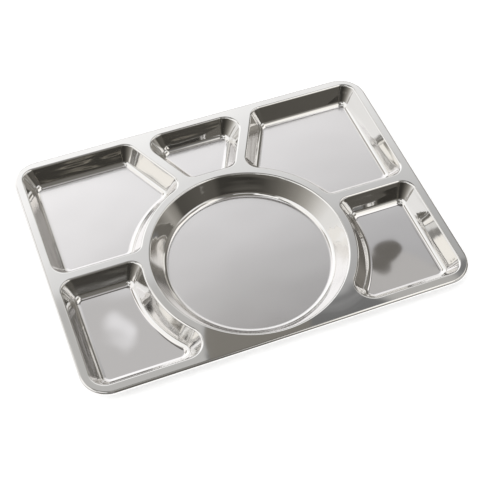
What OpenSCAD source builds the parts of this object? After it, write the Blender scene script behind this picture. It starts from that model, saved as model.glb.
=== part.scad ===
// Divided compartment plate: a shallow six-well mess tray pressed from one sheet of stainless steel.
// A round well sits front and centre. Two large wells flank it at the rear, two small ones at the
// front, and a small four-sided well lies between the large ones. The edge is rolled under.
// The tray is mirrored about x = 0. It stands at z = 0 on the undersides of its well floors,
// with +X to its right and +Y to its rear.

/* [Tray] */
// Width over the rolled edge
tray_w = 394; // [380:1:420]
// Depth over the rolled edge, front to rear
tray_d = 292; // [286:1:310]
// Radius of the four outer corners
tray_corner_r = 28; // [22:1:34]
// Thickness of the sheet
sheet_t = 0.7; // [0.5:0.1:1.0]
// Drop from the deck to the well floors
well_drop = 19.3; // [17:0.1:24]

/* [Rolled edge] */
// Outer radius of the roll
roll_r = 2.6; // [2.2:0.1:3.2]

/* [Borders and webs] */
// Border between the tray's side and the wells
side_border = 8.2; // [7:0.1:12]
// Border between the tray's rear and the wells
rear_border = 8.2; // [7:0.1:12]
// Border between the tray's front and the round well
front_border = 7.3; // [6.5:0.1:10]
// Border between the tray's front and the front wells
front_well_border = 8.9; // [7:0.1:12]
// Flat web between a rear well and the front well before it
cross_web = 6.7; // [5:0.1:10]
// Distance of that web's middle from the tray's front
cross_web_y = 138.5; // [130:0.5:146]
// Flat web around the round well
ring_web = 6; // [4.5:0.1:8]
// Flat web between the round well and the rear centre well
centre_web = 6.6; // [4.5:0.1:10]
// Flat web between the rear centre well and a large rear well
spoke_web = 7.3; // [5:0.1:10]
// Angle between that web and the tray's middle line
spoke_angle = 26.5; // [25:0.1:28]
// Distance from the tray's rear of the point where the middles of those two webs would meet
spoke_meeting_d = 139.2; // [137:0.1:142]

/* [Round well] */
// Slope of the wall, from flat
round_slope = 54; // [50:1:70]
// Radius of the bend between wall and floor
round_floor_bend = 8; // [5:0.5:10]

/* [Large rear wells and small front wells] */
// Slope of the walls, from flat
side_slope = 60; // [54:1:72]
// Radius of the bend between wall and floor
side_floor_bend = 8; // [5:0.5:9]
// Radius of the mouth's corners between straight walls, but for the outer front ones
side_corner_r = 15; // [13:0.5:19]
// Radius of the mouth's outer front corners in the front wells
front_corner_r = 17; // [13:0.5:20]
// Radius of the mouth's corners between the curved wall and the web across
ring_corner_r = 12.5; // [11:0.5:16]
// Radius of the mouth's corner between the curved wall and the slanted web in a rear well
spoke_corner_r = 15; // [11:0.5:18]
// Radius of the mouth's corner between the curved wall and the front wall in a front well
tip_corner_r = 19; // [11:0.5:22]

/* [Rear centre well] */
// Depth of the mouth, front to rear
centre_well_d = 71.1; // [68:0.1:74]
// Slope of the walls, from flat
centre_slope = 60; // [56:1:72]
// Radius of the bend between wall and floor
centre_floor_bend = 7.5; // [4:0.5:8]
// Radius of the mouth's two rear corners
centre_rear_corner_r = 17; // [13:0.5:18]
// Radius of the mouth's two front corners
centre_front_corner_r = 12; // [9:0.5:14]

/* [All wells] */
// Radius of the floor's corners in the wells with straight walls
floor_corner_r = 4; // [3:0.5:8]
// Radius of the bend from the deck down into a well
mouth_bend = 2.5; // [1.5:0.1:3.5]

/* [Hidden] */
steel = "#c9c8c6";
$fn = 96;
// Overrun of a cut
cut = 1;
// Steps in a bend of the sheet, in a corner of a well and along a curved wall
bend_steps = 4;
corner_steps = 6;
ring_steps = 12;

half_w = tray_w / 2;
half_d = tray_d / 2;
deck_z = well_drop + sheet_t;
deck_w = tray_w - 2 * roll_r;
deck_d = tray_d - 2 * roll_r;
deck_corner_r = tray_corner_r - roll_r;

// The borders and webs and the rear centre well leave this much to the round well
round_mouth_r = (tray_d - front_border - rear_border - centre_web - centre_well_d) / 2;

// Middle of the round well, and radius of the ring of deck around it
ring_middle = [0, -half_d + front_border + round_mouth_r];
ring_r = round_mouth_r + ring_web;

// A straight side of a well is [x and y of its normal, which points into the well, and the
// distance of the side from the origin along that normal]. These are the wells on the left.
cross_y = cross_web_y - half_d;
spoke_offset = (half_d - spoke_meeting_d) * sin(spoke_angle);
side_line = [1, 0, -half_w + side_border];
rear_line = [0, -1, -half_d + rear_border];
front_line = [0, 1, -half_d + front_well_border];
behind_cross_line = [0, 1, cross_y + cross_web / 2];
before_cross_line = [0, -1, -cross_y + cross_web / 2];
outer_spoke_line = [-cos(spoke_angle), -sin(spoke_angle), spoke_web / 2 - spoke_offset];
inner_left_line = [cos(spoke_angle), sin(spoke_angle), spoke_web / 2 + spoke_offset];
inner_right_line = [-cos(spoke_angle), sin(spoke_angle), spoke_web / 2 + spoke_offset];
centre_front_line = [0, 1, ring_middle[1] + round_mouth_r + centre_web];

// The profile of a well's wall is [slope, bend radius at the floor]
round_profile = [round_slope, round_floor_bend];
side_profile = [side_slope, side_floor_bend];
centre_profile = [centre_slope, centre_floor_bend];

// Horizontal run of a wall, from the edge of its mouth to the flat of the floor
function wall_length(p) = (well_drop - (mouth_bend + p[1]) * (1 - cos(p[0]))) / sin(p[0]);
function wall_run(p) = (mouth_bend + p[1]) * sin(p[0]) + wall_length(p) * cos(p[0]);

// Points down a wall in [distance inward from the mouth, height from the deck]. Pressed 0 they
// lie on the sheet's upper face, and pressed sheet_t on its lower face.
function wall_points(p, pressed) =
    let (foot = [wall_run(p), p[1] - well_drop])
    [
        for (i = [0:bend_steps])
            [0, -mouth_bend] + (mouth_bend - pressed) * turned(p[0] * i / bend_steps),
        for (i = [0:bend_steps])
            foot - (p[1] + pressed) * turned(p[0] * (1 - i / bend_steps))
    ];
function turned(angle) = [sin(angle), cos(angle)];

// Point that lies "inset" inside both of two lines
function crossing(a, b, inset) =
    let (det = a[0] * b[1] - a[1] * b[0])
    [
        ((a[2] + inset) * b[1] - a[1] * (b[2] + inset)) / det,
        (a[0] * (b[2] + inset) - (a[2] + inset) * b[0]) / det
    ];

// Point that lies "inset" inside a line and outside the ring, on the ring's side "hand"
function ring_crossing(a, inset, hand) =
    let (away = a[2] + inset - [a[0], a[1]] * ring_middle)
    let (along = hand * sqrt(pow(ring_r + inset, 2) - away * away))
    ring_middle + away * [a[0], a[1]] + along * [-a[1], a[0]];

// A corner is [side before it, side after it, radius at the mouth, hand], and a side is a line or
// "ring". Its arc at an inset keeps to both sides, and narrows evenly to the floor's radius.
function corner_arc(corner, inset, run) =
    let (r = corner[2] + (floor_corner_r - corner[2]) * inset / run)
    let (before = corner[0])
    let (after = corner[1])
    let (middle = before == "ring" ? ring_crossing(after, inset + r, corner[3])
        : after == "ring" ? ring_crossing(before, inset + r, corner[3])
        : crossing(before, after, inset + r))
    let (start = heading(before, middle) + 180)
    let (turn = (heading(after, middle) + 180 - start + 360) % 360)
    [
        for (i = [0:corner_steps])
            middle + r * [cos(start + turn * i / corner_steps), sin(start + turn * i / corner_steps)]
    ];
function heading(side, point) =
    side == "ring" ? atan2(point[1] - ring_middle[1], point[0] - ring_middle[0])
    : atan2(side[1], side[0]);

// Curved side between two arcs that touch the ring, without its ends
function ring_side(from, to, inset) =
    let (start = heading("ring", from))
    let (turn = (heading("ring", to) - start + 540) % 360 - 180)
    [
        for (i = [1:ring_steps - 1])
            ring_middle + (ring_r + inset)
                * [cos(start + turn * i / ring_steps), sin(start + turn * i / ring_steps)]
    ];

// Outline of a well at an inset from its mouth, anticlockwise
function outline(corners, inset, run) =
    let (arcs = [for (corner = corners) corner_arc(corner, inset, run)])
    [
        for (i = [0:len(corners) - 1])
            each corners[i][1] == "ring"
                ? concat(arcs[i], ring_side(arcs[i][corner_steps], arcs[i + 1][0], inset))
                : arcs[i]
    ];

// Corners of the wells on the left and in the middle. The first is one from which the whole floor
// is in sight.
rear_left_corners = [
    [rear_line, side_line, side_corner_r],
    [side_line, behind_cross_line, side_corner_r],
    [behind_cross_line, "ring", ring_corner_r, 1],
    ["ring", outer_spoke_line, spoke_corner_r, -1],
    [outer_spoke_line, rear_line, side_corner_r]
];
front_left_corners = [
    [side_line, front_line, front_corner_r],
    [front_line, "ring", tip_corner_r, 1],
    ["ring", before_cross_line, ring_corner_r, -1],
    [before_cross_line, side_line, side_corner_r]
];
rear_centre_corners = [
    [inner_left_line, centre_front_line, centre_front_corner_r],
    [centre_front_line, inner_right_line, centre_front_corner_r],
    [inner_right_line, rear_line, centre_rear_corner_r],
    [rear_line, inner_left_line, centre_rear_corner_r]
];

// Sheet of a well with straight walls: its upper face from the mouth to the floor, then its lower
// face from the floor back to the mouth
module pressed_well(corners, p) {
    run = wall_run(p);
    upper = wall_points(p, 0);
    lower = wall_points(p, sheet_t);
    rows = concat(upper, [for (i = [len(lower) - 1:-1:0]) lower[i]]);
    rings = [
        for (row = rows)
            [for (q = outline(corners, row[0], run)) [q[0], q[1], deck_z + row[1]]]
    ];
    n = len(rings[0]);
    function at(ring, i) = (ring % len(rings)) * n + i % n;
    floor_row = len(upper) - 1;
    polyhedron(
        points = [for (ring = rings) each ring],
        faces = [
            [for (i = [0:n - 1]) at(floor_row, n - 1 - i)],
            [for (i = [0:n - 1]) at(floor_row + 1, i)],
            for (row = [0:len(rings) - 1], i = [0:n - 1])
                if (row != floor_row)
                    each [
                        [at(row, i), at(row + 1, i), at(row, i + 1)],
                        [at(row, i + 1), at(row + 1, i), at(row + 1, i + 1)]
                    ]
        ]
    );
}

// Plan of the flat deck before the wells are taken out
module deck_plan() {
    square([deck_w - 2 * deck_corner_r, deck_d], center = true);
    square([deck_w, deck_d - 2 * deck_corner_r], center = true);
    for (x = [-1, 1], y = [-1, 1])
        translate([x * (deck_w / 2 - deck_corner_r), y * (deck_d / 2 - deck_corner_r)])
            circle(r = deck_corner_r);
}

module deck() {
    color(steel)
        translate([0, 0, deck_z - sheet_t])
            linear_extrude(height = sheet_t)
                difference() {
                    deck_plan();
                    translate(ring_middle)
                        circle(r = round_mouth_r);
                    polygon(outline(rear_centre_corners, 0, 1));
                    for (side = [0, 1])
                        mirror([side, 0]) {
                            polygon(outline(rear_left_corners, 0, 1));
                            polygon(outline(front_left_corners, 0, 1));
                        }
                }
}

module round_well() {
    floor_z = -well_drop;
    upper = wall_points(round_profile, 0);
    lower = wall_points(round_profile, sheet_t);
    color(steel)
        translate([ring_middle[0], ring_middle[1], deck_z])
            rotate_extrude()
                polygon([
                    for (q = upper) [round_mouth_r - q[0], q[1]],
                    [0, floor_z],
                    [0, floor_z - sheet_t],
                    for (i = [len(lower) - 1:-1:0]) [round_mouth_r - lower[i][0], lower[i][1]]
                ]);
}

module rear_left_well() {
    color(steel)
        pressed_well(rear_left_corners, side_profile);
}

module rear_right_well() {
    color(steel)
        mirror([1, 0, 0])
            pressed_well(rear_left_corners, side_profile);
}

module front_left_well() {
    color(steel)
        pressed_well(front_left_corners, side_profile);
}

module front_right_well() {
    color(steel)
        mirror([1, 0, 0])
            pressed_well(front_left_corners, side_profile);
}

module rear_centre_well() {
    color(steel)
        pressed_well(rear_centre_corners, centre_profile);
}

// Section of the roll in [distance outward from the deck's edge, height from the deck]: it turns
// out, down and back under for three quarters of a turn
module roll_section() {
    difference() {
        translate([0, -roll_r])
            circle(r = roll_r);
        translate([0, -roll_r])
            circle(r = roll_r - sheet_t);
        translate([-roll_r - cut, -roll_r])
            square([roll_r + cut, roll_r + cut]);
    }
}

module rolled_rim() {
    side_l = deck_d - 2 * deck_corner_r;
    end_l = deck_w - 2 * deck_corner_r;
    color(steel)
        translate([0, 0, deck_z]) {
            for (turn = [0, 180])
                rotate([0, 0, turn]) {
                    translate([deck_w / 2, 0, 0])
                        rotate([90, 0, 0])
                            linear_extrude(height = side_l, center = true)
                                roll_section();
                    rotate([0, 0, 90])
                        translate([deck_d / 2, 0, 0])
                            rotate([90, 0, 0])
                                linear_extrude(height = end_l, center = true)
                                    roll_section();
                    translate([end_l / 2, side_l / 2, 0])
                        rotate_extrude(angle = 90)
                            translate([deck_corner_r, 0])
                                roll_section();
                    translate([-end_l / 2, side_l / 2, 0])
                        rotate([0, 0, 90])
                            rotate_extrude(angle = 90)
                                translate([deck_corner_r, 0])
                                    roll_section();
                }
        }
}

deck();
round_well();
rear_left_well();
rear_centre_well();
rear_right_well();
front_left_well();
front_right_well();
rolled_rim();
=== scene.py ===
# Divided compartment plate of polished stainless steel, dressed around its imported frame.
# Lengths are in metres, and angles with a name in capitals are in degrees.
# The tray stands at z = 0, with +X to its right and +Y to its rear.
import math

import bmesh
import bpy
import numpy as np
from mathutils import Matrix, Vector

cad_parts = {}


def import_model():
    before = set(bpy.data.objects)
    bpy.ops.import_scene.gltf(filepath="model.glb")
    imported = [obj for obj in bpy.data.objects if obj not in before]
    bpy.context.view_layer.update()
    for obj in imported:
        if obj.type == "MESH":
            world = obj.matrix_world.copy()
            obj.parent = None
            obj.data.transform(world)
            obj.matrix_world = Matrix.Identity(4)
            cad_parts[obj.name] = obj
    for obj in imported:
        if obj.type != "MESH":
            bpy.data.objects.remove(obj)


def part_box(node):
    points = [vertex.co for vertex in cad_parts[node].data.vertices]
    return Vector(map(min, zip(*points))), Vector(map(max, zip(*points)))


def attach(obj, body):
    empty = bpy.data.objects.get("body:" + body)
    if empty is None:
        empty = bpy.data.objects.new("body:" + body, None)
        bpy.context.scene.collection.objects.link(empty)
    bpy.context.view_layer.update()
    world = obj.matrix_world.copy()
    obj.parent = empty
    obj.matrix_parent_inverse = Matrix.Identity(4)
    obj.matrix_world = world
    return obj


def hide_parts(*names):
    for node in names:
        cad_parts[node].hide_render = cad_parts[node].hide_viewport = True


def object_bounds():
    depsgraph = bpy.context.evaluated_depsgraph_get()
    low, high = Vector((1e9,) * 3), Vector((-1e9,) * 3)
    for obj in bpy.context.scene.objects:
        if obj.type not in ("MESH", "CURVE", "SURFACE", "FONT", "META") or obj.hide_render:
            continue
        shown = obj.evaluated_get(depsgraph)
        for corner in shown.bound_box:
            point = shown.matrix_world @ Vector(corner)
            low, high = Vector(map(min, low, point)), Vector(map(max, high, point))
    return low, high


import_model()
CAD_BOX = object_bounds()

MM = 0.001

# Sizes that the frame shows
DECK_Z = CAD_BOX[1][2]
ROLL_R = (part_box("rolled_rim")[1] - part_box("rolled_rim")[0])[2] / 2
SHEET_T = (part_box("deck")[1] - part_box("deck")[0])[2]
WELL_DROP = DECK_Z - SHEET_T
DECK_HALF = np.array(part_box("deck")[1])[:2]
ROUND_LOW, ROUND_HIGH = (np.array(corner)[:2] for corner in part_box("round_well"))
ROUND_R = (ROUND_HIGH[0] - ROUND_LOW[0]) / 2
RING_MIDDLE = np.array([0.0, ROUND_LOW[1] + ROUND_R])
REAR_LOW, REAR_HIGH = (np.array(corner)[:2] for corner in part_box("rear_left_well"))
FRONT_LOW, FRONT_HIGH = (np.array(corner)[:2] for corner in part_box("front_left_well"))
CENTRE_LOW = np.array(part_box("rear_centre_well")[0])[:2]

# Sizes that the frame's boxes don't show
DECK_CORNER_R = 25.4 * MM
ROLL_TURN = 270
RING_WEB = 6 * MM
SPOKE_WEB = 7.3 * MM
SPOKE_ANGLE = 26.5
SPOKE_Y = 6.8 * MM
MOUTH_BEND = 2.5 * MM
ROUND_SLOPE = 54
SIDE_SLOPE = 60
CENTRE_SLOPE = 60
ROUND_FLOOR_BEND = 8 * MM
SIDE_FLOOR_BEND = 8 * MM
CENTRE_FLOOR_BEND = 7.5 * MM
SIDE_CORNER_R = 15 * MM
FRONT_CORNER_R = 17 * MM
RING_CORNER_R = 12.5 * MM
SPOKE_CORNER_R = 15 * MM
TIP_CORNER_R = 19 * MM
CENTRE_REAR_CORNER_R = 17 * MM
CENTRE_FRONT_CORNER_R = 12 * MM
FLOOR_CORNER_R = 4 * MM
RING_R = ROUND_R + RING_WEB

# Steps of the meshes
MOUTH_STEPS = 10
WALL_STEPS = 6
FOOT_STEPS = 16
CORNER_STEPS = 20
RING_STEPS = 60
ROUND_STEPS = 256
RIM_STEPS = 40
RIM_CORNER_STEPS = 24

# A straight side is (x, y, distance): its normal, which points into the well, and how far along
# that normal it lies from the origin
SPOKE_COS = math.cos(math.radians(SPOKE_ANGLE))
SPOKE_SIN = math.sin(math.radians(SPOKE_ANGLE))
SPOKE_OFFSET = SPOKE_Y * SPOKE_SIN
SIDE_LINE = (1, 0, REAR_LOW[0])
REAR_LINE = (0, -1, -REAR_HIGH[1])
FRONT_LINE = (0, 1, FRONT_LOW[1])
BEHIND_CROSS_LINE = (0, 1, REAR_LOW[1])
BEFORE_CROSS_LINE = (0, -1, -FRONT_HIGH[1])
OUTER_SPOKE_LINE = (-SPOKE_COS, -SPOKE_SIN, SPOKE_WEB / 2 - SPOKE_OFFSET)
INNER_LEFT_LINE = (SPOKE_COS, SPOKE_SIN, SPOKE_WEB / 2 + SPOKE_OFFSET)
INNER_RIGHT_LINE = (-SPOKE_COS, SPOKE_SIN, SPOKE_WEB / 2 + SPOKE_OFFSET)
CENTRE_FRONT_LINE = (0, 1, CENTRE_LOW[1])
RING = "ring"

# A corner is (side before it, side after it, radius at the mouth, hand at the ring)
REAR_LEFT_CORNERS = [
    (REAR_LINE, SIDE_LINE, SIDE_CORNER_R, 0),
    (SIDE_LINE, BEHIND_CROSS_LINE, SIDE_CORNER_R, 0),
    (BEHIND_CROSS_LINE, RING, RING_CORNER_R, 1),
    (RING, OUTER_SPOKE_LINE, SPOKE_CORNER_R, -1),
    (OUTER_SPOKE_LINE, REAR_LINE, SIDE_CORNER_R, 0),
]
FRONT_LEFT_CORNERS = [
    (SIDE_LINE, FRONT_LINE, FRONT_CORNER_R, 0),
    (FRONT_LINE, RING, TIP_CORNER_R, 1),
    (RING, BEFORE_CROSS_LINE, RING_CORNER_R, -1),
    (BEFORE_CROSS_LINE, SIDE_LINE, SIDE_CORNER_R, 0),
]
REAR_CENTRE_CORNERS = [
    (INNER_LEFT_LINE, CENTRE_FRONT_LINE, CENTRE_FRONT_CORNER_R, 0),
    (CENTRE_FRONT_LINE, INNER_RIGHT_LINE, CENTRE_FRONT_CORNER_R, 0),
    (INNER_RIGHT_LINE, REAR_LINE, CENTRE_REAR_CORNER_R, 0),
    (REAR_LINE, INNER_LEFT_LINE, CENTRE_REAR_CORNER_R, 0),
]


def profile(slope, bend, pressed):
    """Rows down a wall: distance inward, height from the deck and tilt in radians. Pressed 0 gives
    the upper face of the sheet, and pressed SHEET_T the lower face."""
    full = math.radians(slope)
    length = (WELL_DROP - (MOUTH_BEND + bend) * (1 - math.cos(full))) / math.sin(full)
    run = (MOUTH_BEND + bend) * math.sin(full) + length * math.cos(full)
    top, foot = MOUTH_BEND - pressed, bend + pressed
    mouth = [
        (top * math.sin(a), top * math.cos(a) - MOUTH_BEND, a)
        for a in np.linspace(0, full, MOUTH_STEPS + 1)
    ]
    floor = [
        (run - foot * math.sin(a), bend - WELL_DROP - foot * math.cos(a), a)
        for a in np.linspace(full, 0, FOOT_STEPS + 1)
    ]
    start, end = np.array(mouth[-1]), np.array(floor[0])
    wall = [tuple(start + (end - start) * i / WALL_STEPS) for i in range(1, WALL_STEPS)]
    return mouth + wall + floor, run


def crossing(a, b, inset):
    """Point that lies inset inside both of two lines."""
    matrix = np.array([[a[0], a[1]], [b[0], b[1]]])
    return np.linalg.solve(matrix, [a[2] + inset, b[2] + inset])


def ring_crossing(line, inset, hand):
    """Point that lies inset inside a line and outside the ring, on the ring's side hand."""
    normal = np.array(line[:2])
    away = line[2] + inset - normal @ RING_MIDDLE
    along = hand * math.sqrt((RING_R + inset) ** 2 - away**2)
    return RING_MIDDLE + away * normal + along * np.array([-normal[1], normal[0]])


def heading(side, point):
    """Direction in radians of a side's inward normal at a point."""
    if side == RING:
        return math.atan2(*(point - RING_MIDDLE)[::-1])
    return math.atan2(side[1], side[0])


def corner_arc(corner, inset, run):
    """Points and outward directions round a corner, which narrows evenly to the floor's radius."""
    before, after, mouth_r, hand = corner
    r = mouth_r + (FLOOR_CORNER_R - mouth_r) * inset / run
    if before == RING:
        middle = ring_crossing(after, inset + r, hand)
    elif after == RING:
        middle = ring_crossing(before, inset + r, hand)
    else:
        middle = crossing(before, after, inset + r)
    start = heading(before, middle) + math.pi
    turn = (heading(after, middle) + math.pi - start) % (2 * math.pi)
    angles = start + turn * np.arange(CORNER_STEPS + 1) / CORNER_STEPS
    out = np.column_stack([np.cos(angles), np.sin(angles)])
    return middle + r * out, out


def ring_side(first, last, inset):
    """Points and outward directions along the curved side, between two arcs that touch the ring."""
    start = heading(RING, first)
    turn = (heading(RING, last) - start + math.pi) % (2 * math.pi) - math.pi
    angles = start + turn * np.arange(1, RING_STEPS) / RING_STEPS
    away = np.column_stack([np.cos(angles), np.sin(angles)])
    return RING_MIDDLE + (RING_R + inset) * away, -away


def well_outline(corners, inset, run):
    """Outline of a well at an inset from its mouth, anticlockwise, with its outward directions."""
    arcs = [corner_arc(corner, inset, run) for corner in corners]
    parts = []
    for i, corner in enumerate(corners):
        parts.append(arcs[i])
        if corner[1] == RING:
            parts.append(ring_side(arcs[i][0][-1], arcs[i + 1][0][0], inset))
    return np.vstack([p for p, _ in parts]), np.vstack([o for _, o in parts])


def round_outline(inset):
    """Outline of the round well at an inset from its mouth, with its outward directions."""
    angles = np.arange(ROUND_STEPS) * 2 * math.pi / ROUND_STEPS
    out = np.column_stack([np.cos(angles), np.sin(angles)])
    return RING_MIDDLE + (ROUND_R - inset) * out, out


def pressed_rows(outline_at, rows, face):
    """Rings of points and normals of one face of a pressed wall. Face is 1 for the upper face and
    -1 for the lower one."""
    step = 0.01 * MM
    points, normals = [], []
    for inset, height, tilt in rows:
        plan, out = outline_at(inset)
        shift = (outline_at(inset + step)[0] - outline_at(inset - step)[0]) / (2 * step)
        inward = -np.sum(shift * out, axis=1)
        normal = np.column_stack([-math.sin(tilt) * out, inward * math.cos(tilt)])
        normal /= np.linalg.norm(normal, axis=1)[:, None]
        points.append(np.column_stack([plan, np.full(len(plan), DECK_Z + height)]))
        normals.append(face * normal)
    return points, normals


class Shell:
    """Faces of one closed mesh, with a normal for each corner of each face."""

    def __init__(self):
        self.points = []
        self.faces = []
        self.normals = []

    def add_points(self, points):
        start = len(self.points)
        self.points.extend(map(tuple, points))
        return np.arange(start, len(self.points))

    def add_face(self, corners, normals):
        self.faces.append([int(c) for c in corners])
        self.normals.extend(map(tuple, normals))

    def band(self, first, second, first_normals, second_normals):
        """Quads between two closed rows of points. The front is seen with first above second when
        the rows run to the right."""
        count = len(first)
        for i in range(count):
            j = (i + 1) % count
            self.add_face(
                [first[i], second[i], second[j], first[j]],
                [first_normals[i], second_normals[i], second_normals[j], first_normals[j]],
            )

    def strip(self, first, second):
        """Flat quads between two closed rows of points."""
        count = len(first)
        points = np.array(self.points)
        for i in range(count):
            j = (i + 1) % count
            quad = [first[i], second[i], second[j], first[j]]
            a, b, c, d = points[quad]
            normal = np.cross(c - a, d - b)
            self.add_face(quad, [normal / np.linalg.norm(normal)] * 4)

    def fan(self, row, middle, normal, reverse):
        """Flat triangles from a middle point to a closed row."""
        for i in range(len(row)):
            pair = [row[i], row[(i + 1) % len(row)]]
            if reverse:
                pair.reverse()
            self.add_face([middle, *pair], [normal] * 3)

    def mirror(self):
        """Mirrors the shell to the other side of the tray, with its faces still outward."""
        self.points = [(-x, y, z) for x, y, z in self.points]
        flipped = []
        start = 0
        for face in self.faces:
            corners = self.normals[start : start + len(face)]
            flipped.extend((-x, y, z) for x, y, z in reversed(corners))
            start += len(face)
        self.normals = flipped
        self.faces = [face[::-1] for face in self.faces]

    def make(self, name, material, node):
        """Makes the mesh object that stands for a node of the frame."""
        mesh = bpy.data.meshes.new(name)
        mesh.from_pydata(self.points, [], self.faces)
        mesh.polygons.foreach_set("use_smooth", [True] * len(self.faces))
        mesh.normals_split_custom_set(self.normals)
        mesh.update()
        piece = bpy.data.objects.new(name, mesh)
        bpy.context.scene.collection.objects.link(piece)
        mesh.materials.append(material)
        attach(piece, "root")
        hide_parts(node)
        return piece


UP = (0.0, 0.0, 1.0)
DOWN = (0.0, 0.0, -1.0)


def well_shell(outline_at, slope, bend, floor_middle, mirrored):
    """Closed sheet of one well, from its mouth to its floor and back along its underside."""
    shell = Shell()
    upper, upper_normals = pressed_rows(outline_at, profile(slope, bend, 0)[0], 1)
    lower, lower_normals = pressed_rows(outline_at, profile(slope, bend, SHEET_T)[0], -1)
    top = [shell.add_points(ring) for ring in upper]
    under = [shell.add_points(ring) for ring in lower]
    middles = shell.add_points(
        [(*floor_middle, DECK_Z - WELL_DROP), (*floor_middle, DECK_Z - WELL_DROP - SHEET_T)]
    )
    for i in range(len(top) - 1):
        shell.band(top[i + 1], top[i], upper_normals[i + 1], upper_normals[i])
    for i in range(len(under) - 1):
        shell.band(under[i], under[i + 1], lower_normals[i], lower_normals[i + 1])
    shell.strip(top[0], under[0])
    shell.fan(top[-1], middles[0], UP, False)
    shell.fan(under[-1], middles[1], DOWN, True)
    if mirrored:
        shell.mirror()
    return shell


def straight_well(corners, slope, bend):
    """Function from an inset to the outline of a well with straight walls."""
    run = profile(slope, bend, 0)[1]
    return lambda inset: well_outline(corners, inset, run)


rear_left_outline = straight_well(REAR_LEFT_CORNERS, SIDE_SLOPE, SIDE_FLOOR_BEND)
front_left_outline = straight_well(FRONT_LEFT_CORNERS, SIDE_SLOPE, SIDE_FLOOR_BEND)
rear_centre_outline = straight_well(REAR_CENTRE_CORNERS, CENTRE_SLOPE, CENTRE_FLOOR_BEND)


def rounded_rectangle(half, radius, steps):
    """Points and outward directions round a rectangle with round corners, anticlockwise."""
    points, out = [], []
    for quarter, (x, y) in enumerate([(1, 1), (-1, 1), (-1, -1), (1, -1)]):
        middle = np.array([x * (half[0] - radius), y * (half[1] - radius)])
        angles = math.pi / 2 * (quarter + np.arange(steps + 1) / steps)
        away = np.column_stack([np.cos(angles), np.sin(angles)])
        points.append(middle + radius * away)
        out.append(away)
    return np.vstack(points), np.vstack(out)


def fill_between(outer, holes):
    """Triangles of a flat region with holes: its points in plan and its faces."""
    mesh = bmesh.new()
    edges = []
    for loop in [outer, *holes]:
        verts = [mesh.verts.new((x, y, 0)) for x, y in loop]
        edges += [
            mesh.edges.new((verts[i], verts[(i + 1) % len(verts)])) for i in range(len(verts))
        ]
    bmesh.ops.triangle_fill(mesh, use_beauty=True, use_dissolve=False, edges=edges)
    mesh.verts.index_update()
    points = [tuple(v.co[:2]) for v in mesh.verts]
    faces = []
    for face in mesh.faces:
        corners = [v.index for v in face.verts]
        (ax, ay), (bx, by), (cx, cy) = (points[c] for c in corners)
        if (bx - ax) * (cy - ay) - (by - ay) * (cx - ax) < 0:
            corners.reverse()
        faces.append(corners)
    mesh.free()
    return points, faces


def mirrored_loop(loop):
    return np.array([(-x, y) for x, y in loop[::-1]])


def deck_shell():
    """The flat of the sheet round the wells."""
    outer = rounded_rectangle(DECK_HALF, DECK_CORNER_R, RIM_CORNER_STEPS)[0]
    rear, front = rear_left_outline(0)[0], front_left_outline(0)[0]
    holes = [
        round_outline(0)[0],
        rear_centre_outline(0)[0],
        rear,
        front,
        mirrored_loop(rear),
        mirrored_loop(front),
    ]
    plan, faces = fill_between(outer, holes)
    shell = Shell()
    top = shell.add_points([(x, y, DECK_Z) for x, y in plan])
    under = shell.add_points([(x, y, DECK_Z - SHEET_T) for x, y in plan])
    for face in faces:
        shell.add_face(top[face], [UP] * 3)
        shell.add_face(under[face[::-1]], [DOWN] * 3)
    start = 0
    for i, loop in enumerate([outer, *holes]):
        span = np.arange(start, start + len(loop))
        start += len(loop)
        if i == 0:
            shell.strip(top[span], under[span])
        else:
            shell.strip(top[span[::-1]], under[span[::-1]])
    return shell


def rim_shell():
    """The rolled edge: a ring of ROLL_TURN degrees, swept round the tray."""
    plan, out = rounded_rectangle(DECK_HALF, DECK_CORNER_R, RIM_CORNER_STEPS)
    turns = np.radians(np.linspace(0, ROLL_TURN, RIM_STEPS + 1))
    shell = Shell()
    rows, normals = {}, {}
    for face, radius in ((1, ROLL_R), (-1, ROLL_R - SHEET_T)):
        rows[face], normals[face] = [], []
        for a in turns:
            points = plan + radius * math.sin(a) * out
            heights = np.full(len(plan), DECK_Z - ROLL_R + radius * math.cos(a))
            rows[face].append(shell.add_points(np.column_stack([points, heights])))
            normal = np.column_stack([math.sin(a) * out, np.full(len(plan), math.cos(a))])
            normals[face].append(face * normal)
    for i in range(len(turns) - 1):
        outer, inner = (i, i + 1), (i + 1, i)
        for face, (a, b) in ((1, outer), (-1, inner)):
            shell.band(rows[face][a], rows[face][b], normals[face][a], normals[face][b])
    shell.strip(rows[-1][0], rows[1][0])
    shell.strip(rows[1][-1], rows[-1][-1])
    return shell


# Sockets of a Mix node of colours, by number because its other data types use the same names
MIX_SHARE = 0
MIX_FIRST = 6
MIX_SECOND = 7
MIX_RESULT = 2


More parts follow.
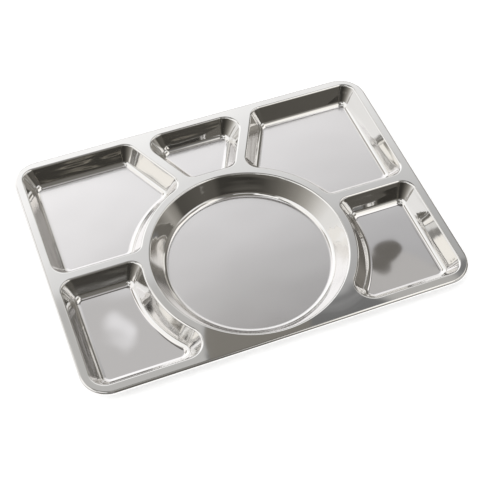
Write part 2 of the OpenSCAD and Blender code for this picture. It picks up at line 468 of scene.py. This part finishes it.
class Nodes:
    """Short calls for building a node tree."""

    def __init__(self, tree):
        self.tree = tree
        tree.nodes.clear()

    def new(self, kind, **settings):
        node = self.tree.nodes.new(kind)
        for name, value in settings.items():
            setattr(node, name, value)
        return node

    def feed(self, socket, value):
        if isinstance(value, bpy.types.NodeSocket):
            self.tree.links.new(value, socket)
        else:
            socket.default_value = value

    def math(self, operation, *values):
        node = self.new("ShaderNodeMath", operation=operation)
        for socket, value in zip(node.inputs, values):
            self.feed(socket, value)
        return node.outputs[0]

    def ramp(self, value, low, high, low_to=0.0, high_to=1.0):
        """Smooth step of a value from low to high."""
        node = self.new("ShaderNodeMapRange", interpolation_type="SMOOTHSTEP")
        for socket, number in zip(node.inputs, (value, low, high, low_to, high_to)):
            self.feed(socket, number)
        return node.outputs[0]

    def mix(self, share, first, second):
        """Mix of two colours."""
        node = self.new("ShaderNodeMix", data_type="RGBA")
        self.feed(node.inputs[MIX_SHARE], share)
        self.feed(node.inputs[MIX_FIRST], first)
        self.feed(node.inputs[MIX_SECOND], second)
        return node.outputs[MIX_RESULT]

    def vector(self, operation, *values):
        node = self.new("ShaderNodeVectorMath", operation=operation)
        for socket, value in zip(node.inputs, values):
            self.feed(socket, value)
        return node.outputs["Value" if operation in ("DOT_PRODUCT", "DISTANCE") else "Vector"]

    def stops(self, value, stops, warmth=0.0):
        """Colour that follows (value, brightness) stops, warm where it is dim."""
        low, high = stops[0][0], stops[-1][0]
        node = self.new("ShaderNodeValToRGB")
        span = self.new("ShaderNodeMapRange")
        for socket, number in zip(span.inputs, (value, low, high)):
            self.feed(socket, number)
        self.feed(node.inputs[0], span.outputs[0])
        elements = node.color_ramp.elements
        elements.remove(elements[1])
        for i, (at, brightness) in enumerate(stops):
            place = (at - low) / (high - low)
            element = elements[0] if i == 0 else elements.new(place)
            element.position = place
            element.color = warm_grey(brightness, warmth * max(0, 1 - brightness))
        return node.outputs[0]

    def noise(self, place, scale, detail, rough):
        node = self.new("ShaderNodeTexNoise")
        self.feed(node.inputs["Vector"], place)
        self.feed(node.inputs["Scale"], scale)
        self.feed(node.inputs["Detail"], detail)
        self.feed(node.inputs["Roughness"], rough)
        return node.outputs[0]

    def bump(self, height, distance, normal=None):
        node = self.new("ShaderNodeBump")
        self.feed(node.inputs["Height"], height)
        self.feed(node.inputs["Distance"], distance)
        if normal is not None:
            self.feed(node.inputs["Normal"], normal)
        return node.outputs[0]


# Colour of the walls and the deck, and of the wells' floors. The floors' lighter, cooler colour
# is painted light: it stands in for the brighter light that the floors reflect
STEEL_COLOUR = (0.87, 0.862, 0.85, 1)
LIT_FLOOR_COLOUR = (0.925, 0.908, 0.914, 1)

# Roughness of the finishes
SATIN_ROUGH = 0.2
BRIGHT_ROUGH = 0.03
WALL_ROUGH = 0.05
SOFT_WALL_ROUGH = 0.1
DECK_ROUGH = 0.03

# Heights above a floor between which its finish gives way to the wall's, and depths below the
# deck's face between which the wall's gives way to the deck's
FLOOR_MASK_LOW = 0.1 * MM
FLOOR_MASK_HIGH = 1.0 * MM
DECK_MASK_LOW = 1 * MM
DECK_MASK_HIGH = 0.2 * MM

# Patchy wear, which varies the roughness
WEAR_SCALE = 90
WEAR_DETAIL = 4.0
WEAR_BLEND = 0.6
WEAR_ROUGH = 0.02

# Unevenness of the sheet: streaks, which change DRAW_STRETCH times as fast with height as along a
# wall, and waves, which only the walls have
DRAW_STRETCH = 7
STREAK_SCALE = 16
STREAK_BUMP = 0.26 * MM
WAVE_SCALE = 28
WAVE_BUMP = 0.08 * MM
UNEVEN_DETAIL = 1.0
UNEVEN_BLEND = 0.4


def steel(name, floor_rough, wall_rough):
    """Polished stainless steel, with the finishes of its floors and walls given, and a mirror
    bright deck."""
    material = bpy.data.materials.new(name)
    material.use_nodes = True
    n = Nodes(material.node_tree)
    place = n.new("ShaderNodeTexCoord").outputs["Object"]
    apart = n.new("ShaderNodeSeparateXYZ")
    n.feed(apart.inputs[0], place)
    above_floor = n.math("SUBTRACT", apart.outputs["Z"], SHEET_T)
    lifted = n.ramp(above_floor, FLOOR_MASK_LOW, FLOOR_MASK_HIGH)
    on_deck = n.ramp(apart.outputs["Z"], DECK_Z - DECK_MASK_LOW, DECK_Z - DECK_MASK_HIGH)
    worn = n.noise(place, WEAR_SCALE, WEAR_DETAIL, WEAR_BLEND)
    rough = n.ramp(lifted, 0.0, 1.0, floor_rough, wall_rough)
    rough = n.math("ADD", rough, n.math("MULTIPLY", on_deck, DECK_ROUGH - wall_rough))
    rough = n.math("ADD", rough, n.math("MULTIPLY", n.math("SUBTRACT", worn, 0.5), WEAR_ROUGH))
    stretched = n.vector("MULTIPLY", place, (1, 1, DRAW_STRETCH))
    streaks = n.noise(stretched, STREAK_SCALE, UNEVEN_DETAIL, UNEVEN_BLEND)
    drawn = n.bump(streaks, STREAK_BUMP)
    waves = n.noise(place, WAVE_SCALE, UNEVEN_DETAIL, UNEVEN_BLEND)
    on_wall = n.math("SUBTRACT", lifted, on_deck)
    waved = n.bump(waves, n.math("MULTIPLY", on_wall, WAVE_BUMP), drawn)
    shader = n.new("ShaderNodeBsdfPrincipled")
    shader.inputs["Metallic"].default_value = 1.0
    # The floors take the lighter colour: painted light on the same steel
    n.feed(shader.inputs["Base Color"], n.mix(lifted, LIT_FLOOR_COLOUR, STEEL_COLOUR))
    n.feed(shader.inputs["Roughness"], rough)
    n.feed(shader.inputs["Normal"], waved)
    out = n.new("ShaderNodeOutputMaterial")
    n.feed(out.inputs["Surface"], shader.outputs[0])
    return material


# The studio that the steel reflects. Azimuth is from the rear towards the right, and elevation is
# above the horizon, in degrees like each softness and radius. The ceiling falls off upwards and
# towards the right and the front: its stops are (elevation plus CEILING_LEAN times azimuth,
# brightness).
CEILING_LEAN = 0.3
CEILING_STOPS = [
    (48.0, 1.12),
    (50.0, 1.06),
    (52.0, 1.0),
    (54.0, 0.88),
    (56.0, 0.77),
    (58.0, 0.67),
    (60.0, 0.57),
    (61.0, 0.5),
    (62.5, 0.46),
    (64.2, 0.43),
    (64.4, 0.2),
    (64.65, 0.19),
    (64.75, 0.34),
    (64.85, 0.19),
    (65.05, 0.25),
    (65.2, 0.13),
    (65.3, 0.22),
    (65.4, 0.17),
    (68.0, 0.2),
]

# The walls of the studio in two bands, low and high, as (azimuth, brightness)
WALL_FIRST = -60
WALL_LAST = 300
LOW_STOPS = [
    (-60, 0.85),
    (-30, 1.15),
    (0, 1.1),
    (25, 0.85),
    (38, 0.75),
    (50.5, 0.62),
    (52.5, 0.22),
    (100, 0.2),
    (110, 0.36),
    (118, 0.24),
    (123, 0.08),
    (128, 0.08),
    (150, 0.1),
    (163, 0.09),
    (170, 0.045),
    (200, 0.035),
    (214, 0.06),
    (228, 0.12),
    (240, 0.18),
    (252, 0.28),
    (264, 0.43),
    (276, 0.66),
    (288, 0.83),
    (300, 0.85),
]
HIGH_STOPS = [
    (-60, 1.0),
    (-30, 1.2),
    (0, 1.15),
    (28, 0.85),
    (38, 0.75),
    (50.5, 0.6),
    (52.5, 0.13),
    (72, 0.15),
    (84, 0.24),
    (96, 0.3),
    (104, 0.4),
    (114, 0.8),
    (130, 0.95),
    (148, 0.8),
    (158, 0.3),
    (166, 0.14),
    (190, 0.13),
    (212, 0.14),
    (230, 0.16),
    (237, 0.8),
    (244, 1.0),
    (300, 1.1),
]
# Elevations between which each band gives way to what is above it
LOW_TOP = (21, 25)
HIGH_TOP = (40, 46)
# How warm the walls are where they are dim
WALL_WARMTH = 0.2

# Panels laid over the ceiling, each over those before it: name, lowest and highest azimuth, lowest
# and highest elevation, softness at the sides and at the ends, brightness and warmth
CEILING_PANELS = [
    ("left softbox", -120, -3, 38, 60, 6, 4, 1.05, 0.05),
    ("left wing", -150, -108, 50.5, 60, 6, 1.5, 1.05, 0.05),
    ("dark pole", -119.5, -114.5, 49, 54.5, 1, 1, 0.1, 0.15),
    ("dark cap", -113, -94, 57.8, 64, 2, 0.5, 0.08, 0.15),
    ("dark wing", -148, -127, 36, 48, 2, 1, 0.1, 0.15),
    ("brown card", -44, -16, 43, 53.5, 4, 1.5, 0.35, 0.15),
    ("dim ceiling", -180, 180, 64, 100, 1, 2, 0.2, 0.12),
    ("ceiling lamp", -180, 180, 81, 100, 1, 3, 0.5, 0.03),
    ("left softbox, high", -75, -38, 62, 68.5, 4, 1.5, 1.05, 0.05),
    ("dark gap", -5, 48, 62.5, 73, 5, 1.5, 0.05, 0.15),
    ("dark gap overhead", -30, -5, 72, 80, 5, 2, 0.05, 0.15),
    ("lamp overhead", -130, -60, 70, 80, 10, 3, 0.9, 0.0),
    ("right arch", 49, 140, 60, 73, 4, 2, 1.12, 0.04),
    ("right softbox", 52, 106, 47, 64, 3, 1.5, 1.12, 0.07),
    ("front softbox", 120, 156, 44, 66, 4, 3, 1.05, 0.08),
    ("dark rail", 40, 51, 43, 49.5, 1.5, 1.5, 0.3, 0.06),
    ("dark back", 164, 207, 47.5, 78, 3, 1.5, 0.17, 0.15),
    ("left glow", -12, 17.8, 55.2, 63.5, 0.3, 0.8, 0.52, 0.03),
    ("right glow", 32.6, 40, 52.9, 55.2, 0.3, 0.25, 0.47, 0.05),
    ("brown beam", 94, 141.5, 40, 55.5, 2.5, 0.6, 0.2, 0.2),
    ("brown panel", 18.2, 28, 56.8, 64, 0.15, 0.4, 0.22, 0.15),
]

# Round marks laid over the ceiling's panels: name, azimuth, elevation, radius, softness of the
# edge, brightness and warmth
DISCS = [
    ("pale lamp", 9.3, 56.95, 0.46, 0.36, 0.78, 0.0),
    ("pale lamp beside it", 10.3, 57.35, 0.5, 0.36, 0.78, 0.0),
    ("dark lens", 33.95, 52.75, 0.6, 0.1, 0.14, 0.15),
    ("dark lens beside it", 33.6, 53.5, 0.5, 0.14, 0.14, 0.15),
]

# Panels laid over the walls, in the form of CEILING_PANELS
WALL_PANELS = [
    ("dark skirting", -14, 46, -2, 14, 3, 1.5, 0.07, 0.15),
    ("dark rails, low", 40, 60, 21, 25.2, 1.5, 0.3, 0.1, 0.15),
    ("dark rails, high", 40, 60, 28, 31, 1.5, 0.3, 0.1, 0.15),
    ("dark post", 50.2, 56, 12, 42, 0.8, 2, 0.13, 0.15),
    ("pale line", 50, 57, 29.1, 29.5, 1, 0.15, 0.95, 0.0),
    ("pale line below", 50, 57, 25.8, 26.1, 1, 0.15, 0.8, 0.0),
    ("strip light", 65, 79, 4, 19.8, 1.5, 0.8, 0.95, 0.05),
    ("faint strip", 165, 182, 12.3, 12.6, 2, 0.12, 0.35, 0.25),
    ("faint strip above", 150, 185, 16.0, 16.4, 2, 0.2, 0.3, 0.1),
    ("faint strip below", 166, 182, 9.5, 9.8, 2, 0.12, 0.3, 0.25),
    ("faint strip near the floor", 166, 182, 3.0, 3.3, 2, 0.12, 0.25, 0.25),
]


# Warmth takes this share of it from green, and all of it from blue
GREEN_SHARE = 0.35


def warm_grey(brightness, warmth=0.0):
    """Colour of a brightness, which gets yellower with warmth."""
    return (brightness, brightness * (1 - GREEN_SHARE * warmth), brightness * (1 - warmth), 1)


def direction(azimuth, elevation):
    """Unit vector towards a place in the studio."""
    turn, climb = math.radians(azimuth), math.radians(elevation)
    return (math.sin(turn) * math.cos(climb), math.cos(turn) * math.cos(climb), math.sin(climb))


def lay_panels(n, colour, panels, level, elevation):
    """Lay soft-edged panels over what the studio already shows."""
    for _, left, right, low, high, side_soft, end_soft, brightness, warmth in panels:
        toward = n.vector("DOT_PRODUCT", level, direction((left + right) / 2, 0))
        half = (right - left) / 2
        outer = math.cos(math.radians(min(half + side_soft, 180)))
        inner = math.cos(math.radians(half - side_soft))
        across = n.ramp(toward, outer, inner)
        away = n.math("ABSOLUTE", n.math("SUBTRACT", elevation, (low + high) / 2))
        half = (high - low) / 2
        upright = n.ramp(away, half - end_soft, half + end_soft, 1.0, 0.0)
        share = n.math("MULTIPLY", across, upright)
        colour = n.mix(share, colour, warm_grey(brightness, warmth))
    return colour


def lay_discs(n, colour, discs, unit):
    """Lay soft-edged discs over what the studio already shows."""
    for _, azimuth, elevation, radius, soft, brightness, warmth in discs:
        away = n.vector("DISTANCE", unit, direction(azimuth, elevation))
        share = n.ramp(away, math.radians(radius + soft), math.radians(radius - soft))
        colour = n.mix(share, colour, warm_grey(brightness, warmth))
    return colour


WHITE = (1, 1, 1, 1)
# Grey and strength of the even light on matt surfaces
MATT_LIGHT_GREY = 0.95
MATT_LIGHT_STRENGTH = 0.75


def world():
    """White to the camera, an even light on matt surfaces, and a studio in the reflections."""
    made = bpy.data.worlds.new("studio")
    bpy.context.scene.world = made
    made.use_nodes = True
    n = Nodes(made.node_tree)
    unit = n.vector("NORMALIZE", n.new("ShaderNodeTexCoord").outputs["Generated"])
    level = n.vector("NORMALIZE", n.vector("MULTIPLY", unit, (1, 1, 0)))
    apart = n.new("ShaderNodeSeparateXYZ")
    n.feed(apart.inputs[0], unit)
    x, y, z = apart.outputs
    azimuth = n.math("DEGREES", n.math("ARCTAN2", x, y))
    elevation = n.math("DEGREES", n.math("ARCSINE", z))
    lean = n.math("ADD", elevation, n.math("MULTIPLY", azimuth, CEILING_LEAN))
    colour = n.stops(lean, CEILING_STOPS)
    colour = lay_panels(n, colour, CEILING_PANELS, level, elevation)
    colour = lay_discs(n, colour, DISCS, unit)
    turn = n.math("WRAP", azimuth, WALL_LAST, WALL_FIRST)
    for stops, top in ((HIGH_STOPS, HIGH_TOP), (LOW_STOPS, LOW_TOP)):
        share = n.ramp(elevation, *top, 1.0, 0.0)
        colour = n.mix(share, colour, n.stops(turn, stops, WALL_WARMTH))
    colour = lay_panels(n, colour, WALL_PANELS, level, elevation)

    rays = n.new("ShaderNodeLightPath")
    lit = n.new("ShaderNodeBackground")
    n.feed(lit.inputs["Color"], warm_grey(MATT_LIGHT_GREY))
    n.feed(lit.inputs["Strength"], MATT_LIGHT_STRENGTH)
    mirrored = n.new("ShaderNodeBackground")
    n.feed(mirrored.inputs["Color"], colour)
    seen = n.new("ShaderNodeBackground")
    n.feed(seen.inputs["Color"], WHITE)
    first = n.new("ShaderNodeMixShader")
    n.feed(first.inputs[0], rays.outputs["Is Glossy Ray"])
    n.feed(first.inputs[1], lit.outputs[0])
    n.feed(first.inputs[2], mirrored.outputs[0])
    second = n.new("ShaderNodeMixShader")
    n.feed(second.inputs[0], rays.outputs["Is Camera Ray"])
    n.feed(second.inputs[1], first.outputs[0])
    n.feed(second.inputs[2], seen.outputs[0])
    out = n.new("ShaderNodeOutputWorld")
    n.feed(out.inputs["Surface"], second.outputs[0])


# Side and grey of the stage's floor, and its glow to the camera and in the reflections
STAGE_SIZE = 6.0
STAGE_GREY = 0.85
STAGE_GLOW = 0.35


def floor():
    """Pale plain floor, white to the camera and in the reflections, that keeps a shadow."""
    mesh = bpy.data.meshes.new("floor")
    half = STAGE_SIZE / 2
    corners = [(-half, -half, 0), (half, -half, 0), (half, half, 0), (-half, half, 0)]
    mesh.from_pydata(corners, [], [(0, 1, 2, 3)])
    made = bpy.data.objects.new("floor", mesh)
    bpy.context.scene.collection.objects.link(made)
    material = bpy.data.materials.new("floor")
    material.use_nodes = True
    mesh.materials.append(material)
    n = Nodes(material.node_tree)
    matt = n.new("ShaderNodeBsdfDiffuse")
    n.feed(matt.inputs["Color"], warm_grey(STAGE_GREY))
    glow = n.new("ShaderNodeEmission")
    n.feed(glow.inputs["Color"], WHITE)
    rays = n.new("ShaderNodeLightPath")
    shown = n.math("MAXIMUM", rays.outputs["Is Camera Ray"], rays.outputs["Is Glossy Ray"])
    n.feed(glow.inputs["Strength"], n.math("MULTIPLY", shown, STAGE_GLOW))
    both = n.new("ShaderNodeAddShader")
    n.feed(both.inputs[0], matt.outputs[0])
    n.feed(both.inputs[1], glow.outputs[0])
    out = n.new("ShaderNodeOutputMaterial")
    n.feed(out.inputs["Surface"], both.outputs[0])


LAMP_STRENGTH = 1.0
LAMP_SPREAD = 40
# Where the lamp's light travels: down, to the right and to the rear
LAMP_WAY = (0.5, 0.3, -1)


def lamp():
    """Soft light from above, the left and the front, which the steel doesn't mirror."""
    light = bpy.data.lights.new("key", "SUN")
    light.energy = LAMP_STRENGTH
    light.angle = math.radians(LAMP_SPREAD)
    made = bpy.data.objects.new("key", light)
    bpy.context.scene.collection.objects.link(made)
    made.rotation_euler = Vector(LAMP_WAY).to_track_quat("-Z", "Y").to_euler()
    made.visible_glossy = False


# The camera's azimuth is from the front towards the right, and its target is in the deck's plane.
# Its sensor and lens are in millimetres.
CAMERA_AZIMUTH = -21.27
CAMERA_ELEVATION = 52.94
CAMERA_ROLL = 0.5
CAMERA_DISTANCE = 1.0892
CAMERA_TARGET = (-4.89 * MM, -25.44 * MM)
CAMERA_SENSOR = 36.0
CAMERA_LENS = 82.56


def camera():
    """Camera at the photograph's place."""
    azimuth, elevation, roll = map(math.radians, (CAMERA_AZIMUTH, CAMERA_ELEVATION, CAMERA_ROLL))
    back = Vector(
        (
            math.sin(azimuth) * math.cos(elevation),
            -math.cos(azimuth) * math.cos(elevation),
            math.sin(elevation),
        )
    )
    right = (-back).cross(Vector(UP)).normalized()
    up = right.cross(-back)
    across = math.cos(roll) * right + math.sin(roll) * up
    upward = math.cos(roll) * up - math.sin(roll) * right
    data = bpy.data.cameras.new("camera")
    data.sensor_width = CAMERA_SENSOR
    data.lens = CAMERA_LENS
    made = bpy.data.objects.new("camera", data)
    bpy.context.scene.collection.objects.link(made)
    place = Vector((*CAMERA_TARGET, DECK_Z)) + CAMERA_DISTANCE * back
    turned = Matrix((across, upward, back)).transposed().to_4x4()
    made.matrix_world = Matrix.Translation(place) @ turned
    bpy.context.scene.camera = made


camera()
world()
floor()
lamp()
bpy.context.scene.view_settings.view_transform = "Standard"

SATIN = steel("stainless_steel", SATIN_ROUGH, WALL_ROUGH)
BRIGHT = steel("stainless_steel_bright", BRIGHT_ROUGH, WALL_ROUGH)
SOFT = steel("stainless_steel_soft", BRIGHT_ROUGH, SOFT_WALL_ROUGH)

# Points inside the floors, from which their triangles fan out
REAR_FLOOR_MIDDLE = (-125 * MM, 65 * MM)
FRONT_FLOOR_MIDDLE = (-148 * MM, -80 * MM)
CENTRE_FLOOR_MIDDLE = (0.0, 100 * MM)

# A shape is (outline, slope of the walls, bend at the floor, point inside the floor), and those of
# the side wells are for the left
ROUND_SHAPE = (round_outline, ROUND_SLOPE, ROUND_FLOOR_BEND, tuple(RING_MIDDLE))
REAR_SHAPE = (rear_left_outline, SIDE_SLOPE, SIDE_FLOOR_BEND, REAR_FLOOR_MIDDLE)
FRONT_SHAPE = (front_left_outline, SIDE_SLOPE, SIDE_FLOOR_BEND, FRONT_FLOOR_MIDDLE)
CENTRE_SHAPE = (rear_centre_outline, CENTRE_SLOPE, CENTRE_FLOOR_BEND, CENTRE_FLOOR_MIDDLE)

# Each well is (node, shape, whether it is mirrored, finish)
WELLS = [
    ("round_well", ROUND_SHAPE, False, SATIN),
    ("rear_left_well", REAR_SHAPE, False, SATIN),
    ("rear_right_well", REAR_SHAPE, True, SATIN),
    ("front_left_well", FRONT_SHAPE, False, SOFT),
    ("front_right_well", FRONT_SHAPE, True, BRIGHT),
    ("rear_centre_well", CENTRE_SHAPE, False, SATIN),
]
for node, shape, mirrored, finish in WELLS:
    well_shell(*shape, mirrored).make(node + "_sheet", finish, node)
deck_shell().make("deck_sheet", SATIN, "deck")
rim_shell().make("rim_sheet", SATIN, "rolled_rim")
